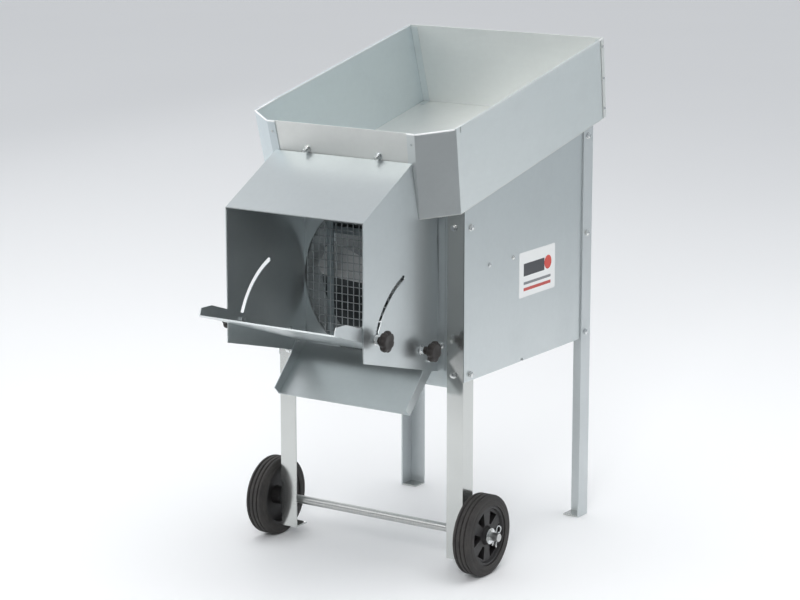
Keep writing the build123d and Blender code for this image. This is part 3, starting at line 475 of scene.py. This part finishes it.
# ---------- geometry nodes ----------
class Grower:
    """A geometry node tree with named inputs, which ends in Realize Instances and Set Material."""

    def __init__(self, name, inputs):
        self.tree = bpy.data.node_groups.new(name, "GeometryNodeTree")
        face = self.tree.interface
        face.new_socket("Geometry", in_out="INPUT", socket_type="NodeSocketGeometry")
        for label, kind in inputs.items():
            face.new_socket(label, in_out="INPUT", socket_type=kind)
        face.new_socket("Finish", in_out="INPUT", socket_type="NodeSocketMaterial")
        face.new_socket("Geometry", in_out="OUTPUT", socket_type="NodeSocketGeometry")
        self.inputs = self.tree.nodes.new("NodeGroupInput")

    def add(self, kind, settings=None, sockets=None):
        node = self.tree.nodes.new(kind)
        for key, value in (settings or {}).items():
            setattr(node, key, value)
        for key, value in (sockets or {}).items():
            if hasattr(value, "is_output"):
                self.tree.links.new(value, node.inputs[key])
            else:
                node.inputs[key].default_value = value
        return node

    def given(self, label):
        return self.inputs.outputs[label]

    def math(self, operation, *terms):
        return self.add("ShaderNodeMath", {"operation": operation}, dict(enumerate(terms))).outputs[0]

    def end(self, instances):
        real = self.add("GeometryNodeRealizeInstances", None, {0: instances})
        dressed = self.add(
            "GeometryNodeSetMaterial", None, {"Geometry": real.outputs[0], "Material": self.given("Finish")}
        )
        out = self.tree.nodes.new("NodeGroupOutput")
        self.tree.links.new(dressed.outputs[0], out.inputs[0])

    def grow(self, name, start, finish, **values):
        """Runs the tree on a start mesh and returns its result as a plain mesh."""
        holder = bpy.data.objects.new(name, start)
        bpy.context.collection.objects.link(holder)
        modifier = holder.modifiers.new(self.tree.name, "NODES")
        modifier.node_group = self.tree
        items = self.tree.interface.items_tree
        sockets = {item.name: item.identifier for item in items if item.in_out == "INPUT"}
        for label, value in {**values, "Finish": finish}.items():
            modifier[sockets[label.replace("_", " ")]] = value
        bpy.context.view_layer.update()
        seen = bpy.context.evaluated_depsgraph_get()
        mesh = bpy.data.meshes.new_from_object(holder.evaluated_get(seen))
        bpy.data.objects.remove(holder)
        return mesh


def setter_tree():
    """Sets one part on every point, turned by the point's own rotation."""
    g = Grower("set_on_points", {"Part": "NodeSocketObject"})
    part = g.add("GeometryNodeObjectInfo", None, {"Object": g.given("Part")})
    turn = g.add("GeometryNodeInputNamedAttribute", {"data_type": "FLOAT_VECTOR"}, {"Name": "turn"})
    placed = g.add(
        "GeometryNodeInstanceOnPoints", None,
        {"Points": g.given("Geometry"), "Instance": part.outputs["Geometry"], "Rotation": turn.outputs[0]},
    )
    g.end(placed.outputs[0])
    return g


def lattice_tree():
    """Crossed wires cut to a circle: each wire is a cylinder scaled to its own chord."""
    g = Grower("wire_lattice", {
        "Circle": "NodeSocketFloat", "Wire": "NodeSocketFloat",
        "Pitch": "NodeSocketFloat", "Count": "NodeSocketInt",
    })
    rod = g.add("GeometryNodeMeshCylinder", None, {"Vertices": 10, "Radius": g.given("Wire"), "Depth": 2.0})
    gaps = g.math("SUBTRACT", g.given("Count"), 1.0)
    first = g.math("MULTIPLY", gaps, g.math("MULTIPLY", g.given("Pitch"), -0.5))
    start = g.add("ShaderNodeCombineXYZ", None, {"X": first})
    step = g.add("ShaderNodeCombineXYZ", None, {"X": g.given("Pitch")})
    row = g.add(
        "GeometryNodeMeshLine", None,
        {"Count": g.given("Count"), "Start Location": start.outputs[0], "Offset": step.outputs[0]},
    )
    place = g.add("ShaderNodeSeparateXYZ", None, {0: g.add("GeometryNodeInputPosition").outputs[0]})
    square = g.math("MULTIPLY", place.outputs["X"], place.outputs["X"])
    room = g.math("SUBTRACT", g.math("MULTIPLY", g.given("Circle"), g.given("Circle")), square)
    half = g.math("SQRT", room)
    stretch = g.add("ShaderNodeCombineXYZ", None, {"X": 1.0, "Y": 1.0, "Z": half})
    wires = g.add(
        "GeometryNodeInstanceOnPoints", None,
        {"Points": row.outputs[0], "Instance": rod.outputs["Mesh"], "Scale": stretch.outputs[0]},
    )
    g.end(wires.outputs[0])
    return g


SETTER, LATTICE = setter_tree(), lattice_tree()


def points_mesh(places):
    """A mesh of loose points, each with the turn that takes +Z to its own direction."""
    mesh = bpy.data.meshes.new("places")
    mesh.from_pydata([tuple(point) for point, _ in places], [], [])
    turn = mesh.attributes.new("turn", "FLOAT_VECTOR", "POINT")
    for item, (_, direction) in zip(turn.data, places):
        item.vector = Vector(direction).to_track_quat("Z", "Y").to_euler()
    return mesh


def set_parts(name, part_mesh, places, finish, node, replaced=True):
    """Sets copies of a part at (point, direction) places, as one piece."""
    part = bpy.data.objects.new(name + "_part", part_mesh)
    bpy.context.collection.objects.link(part)
    mesh = SETTER.grow(name, points_mesh(places), finish, Part=part)
    bpy.data.objects.remove(part)
    piece = piece_from(mesh, name, node, finish)
    if replaced:
        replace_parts(piece, node)
    return piece


def islands(node):
    """Corners (low, high) of each separate solid of a CAD node."""
    work = bmesh.new()
    work.from_mesh(NODES[node].data)
    bmesh.ops.remove_doubles(work, verts=work.verts, dist=1e-6)
    left, found = set(work.verts), []
    while left:
        queue, seen = [left.pop()], []
        while queue:
            vert = queue.pop()
            seen.append(vert.co.copy())
            for edge in vert.link_edges:
                other = edge.other_vert(vert)
                if other in left:
                    left.remove(other)
                    queue.append(other)
        found.append(tuple(Vector(pick(c[i] for c in seen) for i in range(3)) for pick in (min, max)))
    work.free()
    return sorted(found, key=lambda box: tuple(round(v, 4) for v in box[0]))


# ---------- fasteners ----------
def hex_bolt(name, head, washer, rise, length, grip):
    """Hex head with a washer, shank and nut. Its outer end is at the origin and it runs down -Z."""
    work = bmesh.new()

    def prism(radius, top, bottom, sides, chamfer):
        rings = [(radius - chamfer, top), (radius, top - chamfer * 0.6), (radius, bottom + chamfer * 0.3),
                 (radius - chamfer * 0.5, bottom)]
        loops = []
        for r, z in rings:
            turns = [2 * pi * i / sides for i in range(sides)]
            loops.append([work.verts.new((r * cos(a) * MM, r * sin(a) * MM, z * MM)) for a in turns])
        for low, high in zip(loops[1:], loops):
            for i in range(sides):
                work.faces.new((low[i], low[(i + 1) % sides], high[(i + 1) % sides], high[i]))
        work.faces.new(loops[0])
        work.faces.new(list(reversed(loops[-1])))

    prism(head, 0.0, -rise, 6, 0.7)
    prism(washer, -rise, -rise - 1.0, 24, 0.25)
    prism(head, -rise - 1.0 - grip, -rise - 5.5 - grip, 6, 0.7)
    prism(head * 0.54, -rise - 0.8, -length, 12, 0.5)
    mesh = bpy.data.meshes.new(name)
    bmesh.ops.recalc_face_normals(work, faces=work.faces)
    work.to_mesh(mesh)
    work.free()
    return mesh


def fasten(node, head, washer, rise, grip):
    """Replaces a node of plain bolts by finer ones at the same places and of the same length."""
    places, length = [], 0.0
    for low, high in islands(node):
        size, middle = high - low, (low + high) / 2
        axis = max(range(3), key=lambda i: size[i])
        away = 1 if middle[axis] > 0 else -1
        point = middle.copy()
        point[axis] = high[axis] if away > 0 else low[axis]
        direction = Vector((0, 0, 0))
        direction[axis] = away
        places.append((point, direction))
        length = size[axis] / MM
    part = hex_bolt(node + "_part", head, washer, rise, length, grip)
    set_parts(node + "_plated", part, places, PLATED, node)


fasten("leg_bolts", 5.6, 6.6, 4.0, 4.5)
fasten("hood_bolts", 5.6, 6.6, 4.0, 3.0)
fasten("chute_bolts", 4.4, 5.0, 3.0, 3.5)
fasten("shelf_screws", 3.6, 4.4, 1.6, 3.0)


def spot_welds():
    """Shallow round dimples where the hopper's corner flanges lap its front wall."""
    low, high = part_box("hopper_front")
    tilt = Vector((0, high[1] - low[1], -(high[2] - low[2])))
    up = -tilt.normalized()
    facing = Vector((0, -up.z, up.y))
    profile = [(0.0, 0.30), (1.4, 0.24), (2.3, 0.02), (2.6, -0.3)]
    points, turns = [], 16
    for radius, height in profile[1:]:
        angles = [2 * pi * j / turns for j in range(turns)]
        points += [(radius * cos(a) * MM, radius * sin(a) * MM, height * MM) for a in angles]
    faces = grid_faces(len(profile) - 1, turns)
    faces += [tuple(range(turns)), tuple(range(2 * turns, 3 * turns))]
    dimple = mesh_of("dimple", points, faces)
    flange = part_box("hopper_side_right")
    foot = Vector((0, high[1], low[2]))
    places = []
    for side in (1, -1):
        for share in (0.12, 0.37, 0.62, 0.87):
            x = side * (flange[0][0] + 9 * MM + 10 * MM * share)
            place = foot + up * ((high - low).yz.length * share)
            places.append((Vector((x, place.y, place.z)) + facing * 3.0 * MM, facing))
    set_parts("spot_welds", dimple, places, SHEET_X, "hopper_front", replaced=False)


# ---------- hopper trim ----------
FRONT, FLOOR_Z, TILT = -93.1, 684.0, radians(12.0)
HOP_FRONT, HOP_REAR, HOP_DEPTH, HOP_HALF, HOP_FLARE = -63.0, 519.0, 161.3, 211.0, 10.0
CORNER_X, CORNER_S, LAP = 60.0, 44.5, 17.0


def on_hopper(x, s, n):
    """Place in the machine of a point of the hopper: s up the slope to the rear, n square to its floor."""
    y = FRONT + s * cos(TILT) - n * sin(TILT)
    z = FLOOR_Z + s * sin(TILT) + n * cos(TILT)
    return Vector((x, y, z)) * MM


def rim_bead(hand, side):
    """Rolled edge along the top of one hopper side and round its front corner."""
    half, n = HOP_HALF + HOP_FLARE, HOP_DEPTH - 1.7
    route = [(half - CORNER_X - LAP, HOP_FRONT + 0.8), (half - CORNER_X, HOP_FRONT + 0.8),
             (half - 0.2, HOP_FRONT + CORNER_S), (half - 0.2, HOP_REAR - 1.0)]
    places = [on_hopper(side * x, s, n) for x, s in route]
    # The bead's near-white finish paints the highlight along the rim.
    bent_wire(f"rim_bead_{hand}", places, 1.7, f"hopper_side_{hand}", ROLLED_HIGHLIGHT, order=2)


def corner_lap(hand, side):
    """Strip of the side wall turned onto the back wall, with a tab on the floor."""
    work = bmesh.new()
    wide, proud, low, high = 15.0, 0.9, 1.0, HOP_DEPTH - 4.0

    def slab(corners, lift):
        base = [work.verts.new(p) for p in corners]
        top = [work.verts.new(p + lift) for p in corners]
        work.faces.new(base[::-1])
        work.faces.new(top)
        for i in range(4):
            j = (i + 1) % 4
            work.faces.new((base[i], base[j], top[j], top[i]))

    def wall(n, inset):
        return side * (HOP_HALF + HOP_FLARE * n / HOP_DEPTH - 1.6 - inset)

    forward = on_hopper(0, -proud, 0) - on_hopper(0, 0, 0)
    up = on_hopper(0, 0, proud) - on_hopper(0, 0, 0)
    back = HOP_REAR - 0.2
    slab([on_hopper(wall(low, 0), back, low), on_hopper(wall(low, wide), back, low),
          on_hopper(wall(high, wide), back, high), on_hopper(wall(high, 0), back, high)], forward)
    slab([on_hopper(wall(0, 4), back - 24, 0.2), on_hopper(wall(0, 15), back - 24, 0.2),
          on_hopper(wall(0, 15), back - 2, 0.2), on_hopper(wall(0, 4), back - 2, 0.2)], up)
    bmesh.ops.recalc_face_normals(work, faces=work.faces)
    bmesh.ops.bevel(work, geom=work.edges[:], offset=0.25 * MM, segments=2, affect="EDGES")
    mesh = bpy.data.meshes.new("corner_lap")
    work.to_mesh(mesh)
    work.free()
    piece_from(mesh, f"corner_lap_{hand}", f"hopper_side_{hand}", HOPPER_SHEET_LIT)


# ---------- knobs ----------
def knob(node):
    """Lobed clamping knob: a tapered neck that swells into a head with seven soft lobes."""
    low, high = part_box(node)
    side = 1 if low[0] > 0 else -1
    base, out = (low[0], high[0]) if side > 0 else (-high[0], -low[0])
    length = (out - base) / MM
    radius = (high[2] - low[2]) / 2 / MM
    head = 13.0
    outline = [(0.2, 4.3), (0.0, 7.4), (length - head - 3, 8.0), (length - head, 13.0)]
    outline += [(length - head + 0.8, radius - 1.5), (length - head / 2, radius)]
    outline += [(length - 3.2, radius - 0.4), (length - 0.6, radius - 5.5)]
    outline += [(length - 0.9, 9.0), (length - 2.0, 0.6)]
    profile = [(x * MM, r * MM) for x, r in rounded(outline, 2.4)]

    def lobes(r, angle):
        reach = max(0.0, min(1.0, (r / MM - 10.0) / 8.0))
        dip = (0.5 + 0.5 * cos(7 * angle)) ** 2.2
        return r * (1 - 0.115 * reach * dip)

    centre = (side * base, (low[1] + high[1]) / 2, (low[2] + high[2]) / 2)
    mesh = lathe(node + "_lobed", profile, centre, 98, side, lobes, closed=False)
    piece = piece_from(mesh, node + "_lobed", node, KNOB_PLASTIC, 60.0)
    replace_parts(piece, node)


# ---------- wheels ----------
def tyre(node):
    """Solid rubber tyre with three tread grooves and a stepped sidewall."""
    low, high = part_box(node)
    side = 1 if low[0] > 0 else -1
    inner = (low[0] if side > 0 else -high[0])
    width = (high[0] - low[0]) / MM
    r = (high[2] - low[2]) / 2 / MM
    outline = [(0.0, 56.2), (0.0, 63.0), (0.9, 65.0), (0.6, 69.5), (2.2, r - 1.2), (5.0, r)]
    for share in (0.25, 0.5, 0.75):
        x = share * width
        outline += [(x - 1.5, r), (x - 0.8, r - 2.8), (x + 0.8, r - 2.8), (x + 1.5, r)]
    outline += [(width - x, radius) for x, radius in reversed(outline[:6])]
    profile = [(x * MM, radius * MM) for x, radius in rounded(outline, 1.2, 3)]
    centre = (side * inner, (low[1] + high[1]) / 2, (low[2] + high[2]) / 2)
    mesh = lathe(node + "_moulded", profile, centre, 128, side)
    piece = piece_from(mesh, node + "_moulded", node, RUBBER, 50.0)
    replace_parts(piece, node)


# ---------- fan and guard ----------
FAN_LOW, FAN_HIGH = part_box("fan_wheel")
FAN_MIDDLE = (Vector(FAN_LOW) + Vector(FAN_HIGH)) / 2
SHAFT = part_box("motor_shaft")
FAN_MIDDLE.x = (SHAFT[0][0] + SHAFT[1][0]) / 2
FAN_MIDDLE.z = (SHAFT[0][2] + SHAFT[1][2]) / 2
BLADES, BLADE_LEAD = 4, -12.0
BLADE_ROOT, BLADE_TIP = 31.0, 137.5


def blade_mesh():
    """Pressed blade: twisted, cambered, rounded at its tip. It grows along +Z from the axis along Y."""
    rows, columns, thick = 14, 13, 0.9
    sides = []
    for face in (1, -1):
        for i in range(rows):
            t = i / (rows - 1)
            radius = BLADE_ROOT + (BLADE_TIP - BLADE_ROOT) * t
            pitch = radians(42 - 18 * t)
            chord = 44 + 22 * t ** 0.8
            if t > 0.8:
                chord *= sqrt(max(0.2, 1 - ((t - 0.8) / 0.24) ** 2))
            for j in range(columns):
                v = j / (columns - 1) - 0.5
                camber = 7.0 * (0.25 - v * v) * 4 * (0.4 + 0.6 * t) - 3.0
                edge = 1.0 if 0 < j < columns - 1 else 0.35
                along, across = v * chord, camber + face * thick * edge
                x = along * cos(pitch) - across * sin(pitch)
                y = along * sin(pitch) + across * cos(pitch)
                sides.append((x * MM, y * MM, sqrt(max(radius**2 - x**2, 600.0)) * MM))
    faces = []
    count = rows * columns
    for face in grid_faces(rows, columns, closed_columns=False):
        faces += [face, tuple(count + k for k in reversed(face))]
    rim = [j for j in range(columns)] + [i * columns + columns - 1 for i in range(1, rows)]
    rim += [(rows - 1) * columns + j for j in range(columns - 2, -1, -1)]
    rim += [i * columns for i in range(rows - 2, 0, -1)]
    for a, b in zip(rim, rim[1:] + rim[:1]):
        faces.append((a, b, count + b, count + a))
    return mesh_of("blade", sides, faces)


def fan():
    """Hub turned from bar, with pressed blades set round it."""
    blade = blade_mesh()
    hub = [(-17, 7.1), (-17, 27), (-15.5, 33), (-11, 36.4), (-4, 37), (17, 37), (17, 34.5), (4, 34), (4, 12),
           (17, 12), (17, 7.1)]
    profile = [(x * MM, r * MM) for x, r in rounded(hub, 1.5, 3)]
    spun = lathe("hub", profile, (0, 0, 0), 72)
    spun.transform(Matrix.Rotation(radians(90), 4, "Z"))
    work = bmesh.new()
    work.from_mesh(spun)
    for i in range(BLADES):
        turned = blade.copy()
        angle = radians(90 - (360 / BLADES * i + BLADE_LEAD))
        turned.transform(Matrix.Rotation(angle, 4, "Y"))
        work.from_mesh(turned)
    mesh = bpy.data.meshes.new("fan")
    work.to_mesh(mesh)
    work.free()
    mesh.transform(Matrix.Translation(FAN_MIDDLE))
    piece = piece_from(outward(mesh), "fan_wheel_pressed", "fan_wheel", FAN_METAL, 40.0)
    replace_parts(piece, "fan_wheel")


def guard():
    """Welded mesh in front of the fan: two layers of wires and the ring that holds their ends."""
    low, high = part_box("mesh_guard")
    wire, circle = 1.0, (high[0] - low[0]) / 2 / MM - 2.0
    layers = []
    for pitch, count, depth, turn in ((13.0, 23, 1.0, 0.0), (15.0, 21, 2.75, 90.0)):
        start = bpy.data.meshes.new("empty")
        layer = LATTICE.grow(
            "layer", start, WIRE, Circle=circle * MM, Wire=wire * MM, Pitch=pitch * MM, Count=count,
        )
        layer.transform(Matrix.Rotation(radians(turn), 4, "Y"))
        layer.transform(Matrix.Translation((0, low[1] + depth * MM, FAN_MIDDLE.z)))
        layers.append(layer)
    ring = [(3.7, circle - 3), (3.7, circle + 2), (5.4, circle + 2), (5.4, circle - 3)]
    band = lathe("ring", [(x * MM, r * MM) for x, r in rounded(ring + ring[:1], 0.4, 2)], (0, 0, 0), 120)
    band.transform(Matrix.Rotation(radians(90), 4, "Z"))
    band.transform(Matrix.Translation((0, low[1], FAN_MIDDLE.z)))
    work = bmesh.new()
    for mesh in (*layers, band):
        work.from_mesh(mesh)
    whole = bpy.data.meshes.new("guard")
    work.to_mesh(whole)
    work.free()
    piece = piece_from(outward(whole), "mesh_guard_welded", "mesh_guard", WIRE, 60.0)
    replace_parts(piece, "mesh_guard", "guard_ring")


# ---------- hairpins ----------
PIN_X = 263.0


def bent_wire(name, route, radius, node, finish, order=3):
    """Round wire along a smooth route, made a plain mesh."""
    curve = bpy.data.curves.new(name, "CURVE")
    curve.dimensions = "3D"
    curve.bevel_depth = radius * MM
    curve.bevel_resolution = 4
    curve.resolution_u = 6
    curve.use_fill_caps = True
    spline = curve.splines.new("NURBS")
    spline.points.add(len(route) - 1)
    for point, place in zip(spline.points, route):
        point.co = (*place, 1)
    spline.order_u = order
    spline.use_endpoint_u = True
    holder = bpy.data.objects.new(name, curve)
    bpy.context.collection.objects.link(holder)
    seen = bpy.context.evaluated_depsgraph_get()
    mesh = bpy.data.meshes.new_from_object(holder.evaluated_get(seen))
    bpy.data.objects.remove(holder)
    return piece_from(outward(mesh), name, node, finish, 60.0)


def hairpin(side):
    """Spring clip: one leg through the axle, a round eye, and a leg that hugs the axle."""
    low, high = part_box("axle")
    middle = Vector((side * PIN_X * MM, (low[1] + high[1]) / 2, (low[2] + high[2]) / 2))
    lean = radians(-28)
    flat = [(0, -17), (0, -8), (0, 6), (0, 13)]
    flat += [(5.6 - 6.4 * cos(radians(a)), 16 + 6.4 * sin(radians(a))) for a in range(0, 300, 30)]
    flat += [(6.5, 11), (9.6, 4), (9.9, -3), (7.6, -9), (9.0, -14), (12.0, -16)]
    route = []
    for i, (u, v) in enumerate(flat):
        shift = 0.0 if i < 8 else 1.5
        y, z = u * cos(lean) - v * sin(lean), u * sin(lean) + v * cos(lean)
        route.append(middle + Vector((side * shift, y, z)) * MM)
    return bent_wire(f"hairpin_{'right' if side > 0 else 'left'}", route, 1.3, "hairpins", PLATED)


# ---------- build ----------
for node, width in EDGE.items():
    softened(node, width)
for node, finish in FINISH_OF.items():
    if node not in EDGE:
        for slot in NODES[node].material_slots:
            slot.material = finish
spot_welds()
for hand, side in zip(HANDS, (1, -1)):
    rim_bead(hand, side)
    corner_lap(hand, side)
    tyre(f"tyre_{hand}")
    knob(f"pivot_knob_{hand}")
    knob(f"clamp_knob_{hand}")
fan()
guard()
for side in (1, -1):
    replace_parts(hairpin(side), "hairpins")


# ---------- studio ----------
def card(name, place, size, colour, strength, towards):
    """A glowing board that only shows in reflections."""
    mesh = bpy.data.meshes.new(name)
    w, h = size[0] / 2, size[1] / 2
    mesh.from_pydata([(-w, -h, 0), (w, -h, 0), (w, h, 0), (-w, h, 0)], [], [(0, 1, 2, 3)])
    board = bpy.data.objects.new(name, mesh)
    bpy.context.collection.objects.link(board)
    board.location = place
    board.rotation_euler = (Vector(towards) - Vector(place)).to_track_quat("Z", "Y").to_euler()
    f = Finish(name, Emission_Strength=strength)
    f.shader.inputs["Base Color"].default_value = (*colour, 1)
    f.shader.inputs["Emission Color"].default_value = (*colour, 1)
    f.shader.inputs["Roughness"].default_value = 1.0
    mesh.materials.append(f.material)
    board.visible_camera = False
    board.visible_shadow = False
    board.visible_diffuse = False
    return board


def area_lamp(name, place, target, size, power):
    lamp = bpy.data.lights.new(name, "AREA")
    lamp.shape = "RECTANGLE"
    lamp.size, lamp.size_y = size
    lamp.energy = power
    holder = bpy.data.objects.new(name, lamp)
    bpy.context.collection.objects.link(holder)
    holder.location = place
    holder.rotation_euler = (Vector(target) - Vector(place)).to_track_quat("-Z", "Y").to_euler()
    return holder


floor_mesh = bpy.data.meshes.new("studio_floor")
floor_mesh.from_pydata([(-30, -30, 0), (30, -30, 0), (30, 30, 0), (-30, 30, 0)], [], [(0, 1, 2, 3)])
floor_mesh.materials.append(studio_floor("studio_floor"))
floor = bpy.data.objects.new("studio_floor", floor_mesh)
floor.location.z = -0.0004
bpy.context.collection.objects.link(floor)

world = bpy.data.worlds.new("studio")
world.use_nodes = True
world.node_tree.nodes["Background"].inputs["Color"].default_value = (0.93, 0.96, 1.0, 1)
world.node_tree.nodes["Background"].inputs["Strength"].default_value = 0.64
bpy.context.scene.world = world
bpy.context.scene.view_settings.view_transform = "Standard"

area_lamp("overhead", (0.2, 0.2, 3.4), (0, 0, 0.4), (3.6, 3.6), 68).visible_glossy = False
area_lamp("key", (1.9, -3.6, 2.6), (0, 0, 0.5), (1.0, 1.0), 48).visible_glossy = False
WHITE = (1.0, 1.0, 1.0)
BOARDS = [  # name, place, size, colour, strength, facing
    ("dark_board_front", (-0.98, -1.80, 0.50), (3.0, 1.0), (0.05, 0.055, 0.06), 0.2, (0.552, 0.834, 0)),
    ("grey_board_rear", (1.6, 2.2, 0.62), (4.4, 1.2), (0.25, 0.27, 0.28), 0.8, (-0.552, -0.834, 0)),
    ("dark_board_camera", (1.75, -2.65, 1.25), (3.6, 1.9), (0.10, 0.11, 0.115), 0.5, (-0.551, 0.834, 0)),
    ("bright_wall_left", (-4.5, 0.6, 2.6), (11.0, 3.6), WHITE, 1.45, (5.5, 0, 0)),
    ("bright_wall_front", (-1.9, -4.9, 2.6), (6.0, 3.4), WHITE, 1.6, (0.9, 5.9, 0)),
]
for name, place, size, colour, strength, facing in BOARDS:
    card(name, place, size, colour, strength, Vector(place) + Vector(facing))
mat = card("dark_mat_right", (1.63, -1.69, 0.004), (4.0, 3.5), (0.07, 0.075, 0.08), 0.5, (1.63, -1.69, 1.0))
mat.rotation_euler = (0, 0, radians(43))
backdrop = card("white_backdrop", (-6.5, 9.8, 3.5), (40.0, 16.0), WHITE, 1.0, (1.0, -1.0, 3.5))
backdrop.visible_camera, backdrop.visible_glossy = True, False

AIM = Vector((-0.0968, 0.1565, 0.4372))
AZIMUTH, ELEVATION, DISTANCE, LENS = radians(33.46), radians(12.23), 4.98, 114.5
back = Vector((sin(AZIMUTH) * cos(ELEVATION), -cos(AZIMUTH) * cos(ELEVATION), sin(ELEVATION)))
camera_data = bpy.data.cameras.new("camera")
camera_data.lens = LENS
camera = bpy.data.objects.new("camera", camera_data)
camera.location = AIM + back * DISTANCE
camera.rotation_euler = (-back).to_track_quat("-Z", "Y").to_euler()
bpy.context.collection.objects.link(camera)
bpy.context.scene.camera = camera
